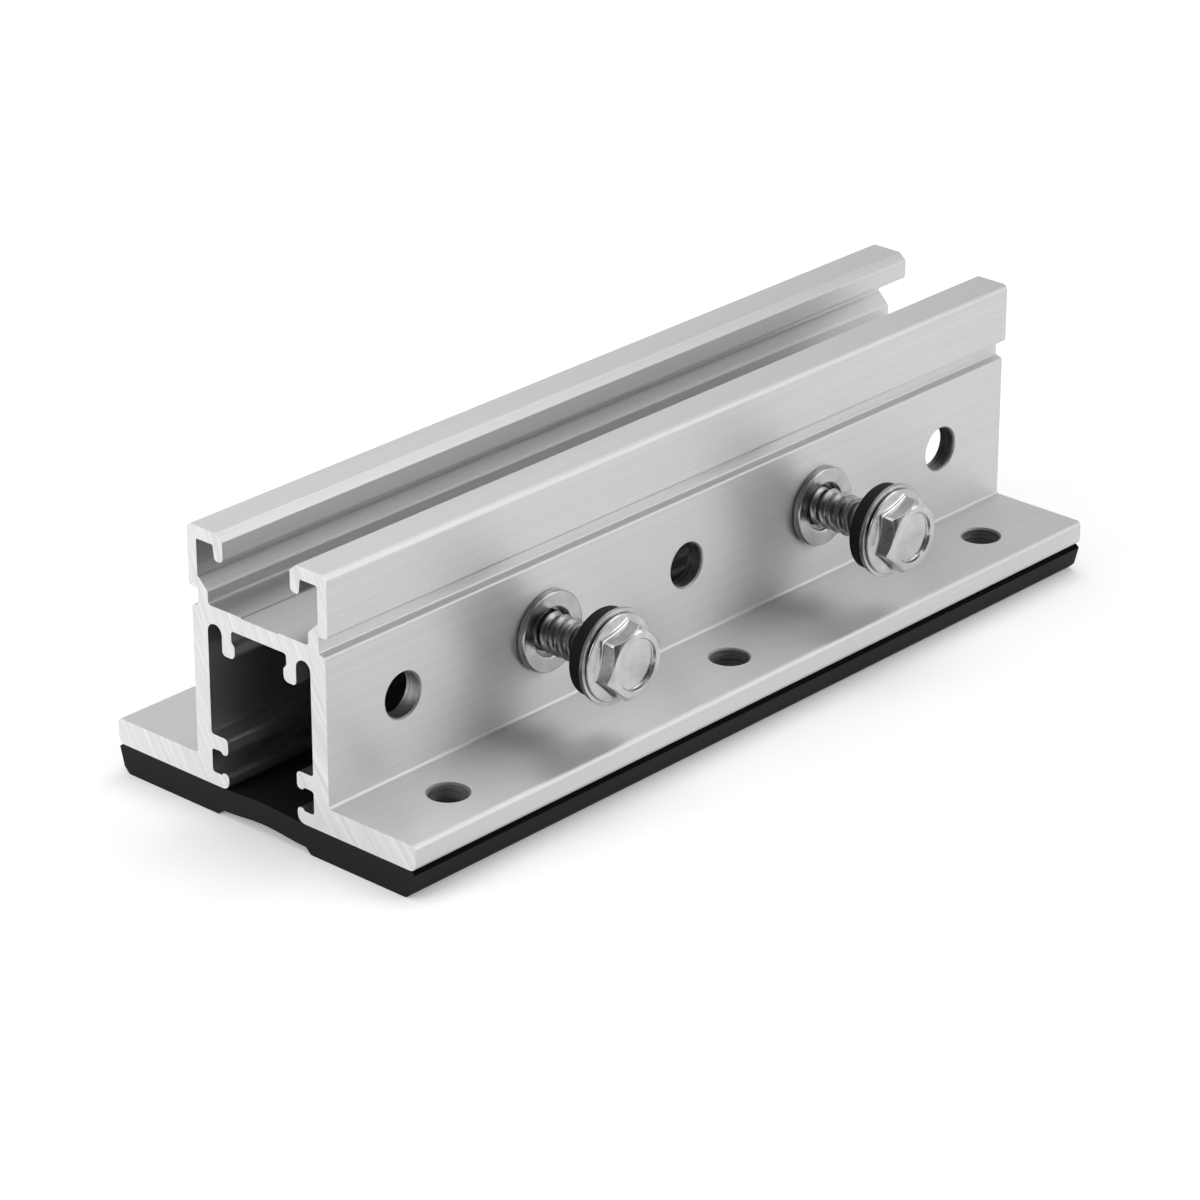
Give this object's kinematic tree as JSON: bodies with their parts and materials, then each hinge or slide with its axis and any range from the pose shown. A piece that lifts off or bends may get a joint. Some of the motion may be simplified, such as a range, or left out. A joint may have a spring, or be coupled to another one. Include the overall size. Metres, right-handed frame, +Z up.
{
  "type": "solar mini rail",
  "caption": "Short extruded aluminium rail with a lipped channel on top and base flanges on a rubber pad, with part-driven sealing screws in one wall.",
  "frame": {"origin": "centre of the rail's base, in the plane where the base flanges meet the pad, midway between the four outer base holes", "axes": "+X along the rail, +Z up through the base, -Y towards the wall that holds the screws"},
  "size_m": [0.15, 0.0618, 0.0442],
  "materials": {
    "rail_aluminium": "mill finish with fine lines along the rail, sawn ends",
    "pad_rubber": "matte black EPDM",
    "washer_steel": "plain pressed stainless steel",
    "seal_rubber": "matte black EPDM",
    "screw_steel": "plain stainless steel, rolled thread"
  },
  "bodies": {
    "rail_body": {"rail": "rail_aluminium", "rubber_pad": "pad_rubber", "flat_washer_1": "washer_steel", "flat_washer_2": "washer_steel"},
    "seal_body_1": {"washer_rubber_1": "seal_rubber", "washer_plate_1": "washer_steel"},
    "screw_body_1": {"screw_1": "screw_steel"},
    "seal_body_2": {"washer_rubber_2": "seal_rubber", "washer_plate_2": "washer_steel"},
    "screw_body_2": {"screw_2": "screw_steel"}
  },
  "joints": [
    {"name": "screw_1_advance", "type": "slide", "parent": "rail_body", "child": "seal_body_1", "axis": [0, 1, 0], "range_m": [-0.0018, 0.00864]},
    {"name": "screw_1_turn", "type": "hinge", "parent": "seal_body_1", "child": "screw_body_1", "pos_m": [-0.0305, -0.027, 0.0163], "axis": [0, 1, 0], "range_deg": [-361, 1730]},
    {"name": "screw_2_advance", "type": "slide", "parent": "rail_body", "child": "seal_body_2", "axis": [0, 1, 0], "range_m": [-0.0018, 0.00972]},
    {"name": "screw_2_turn", "type": "hinge", "parent": "seal_body_2", "child": "screw_body_2", "pos_m": [0.0305, -0.028, 0.0163], "axis": [0, 1, 0], "range_deg": [-361, 1946]}
  ],
  "couplings": [
    {"joint": "screw_1_turn", "follows": "screw_1_advance", "rad_per_m": 3490.7},
    {"joint": "screw_2_turn", "follows": "screw_2_advance", "rad_per_m": 3490.7}
  ]
}
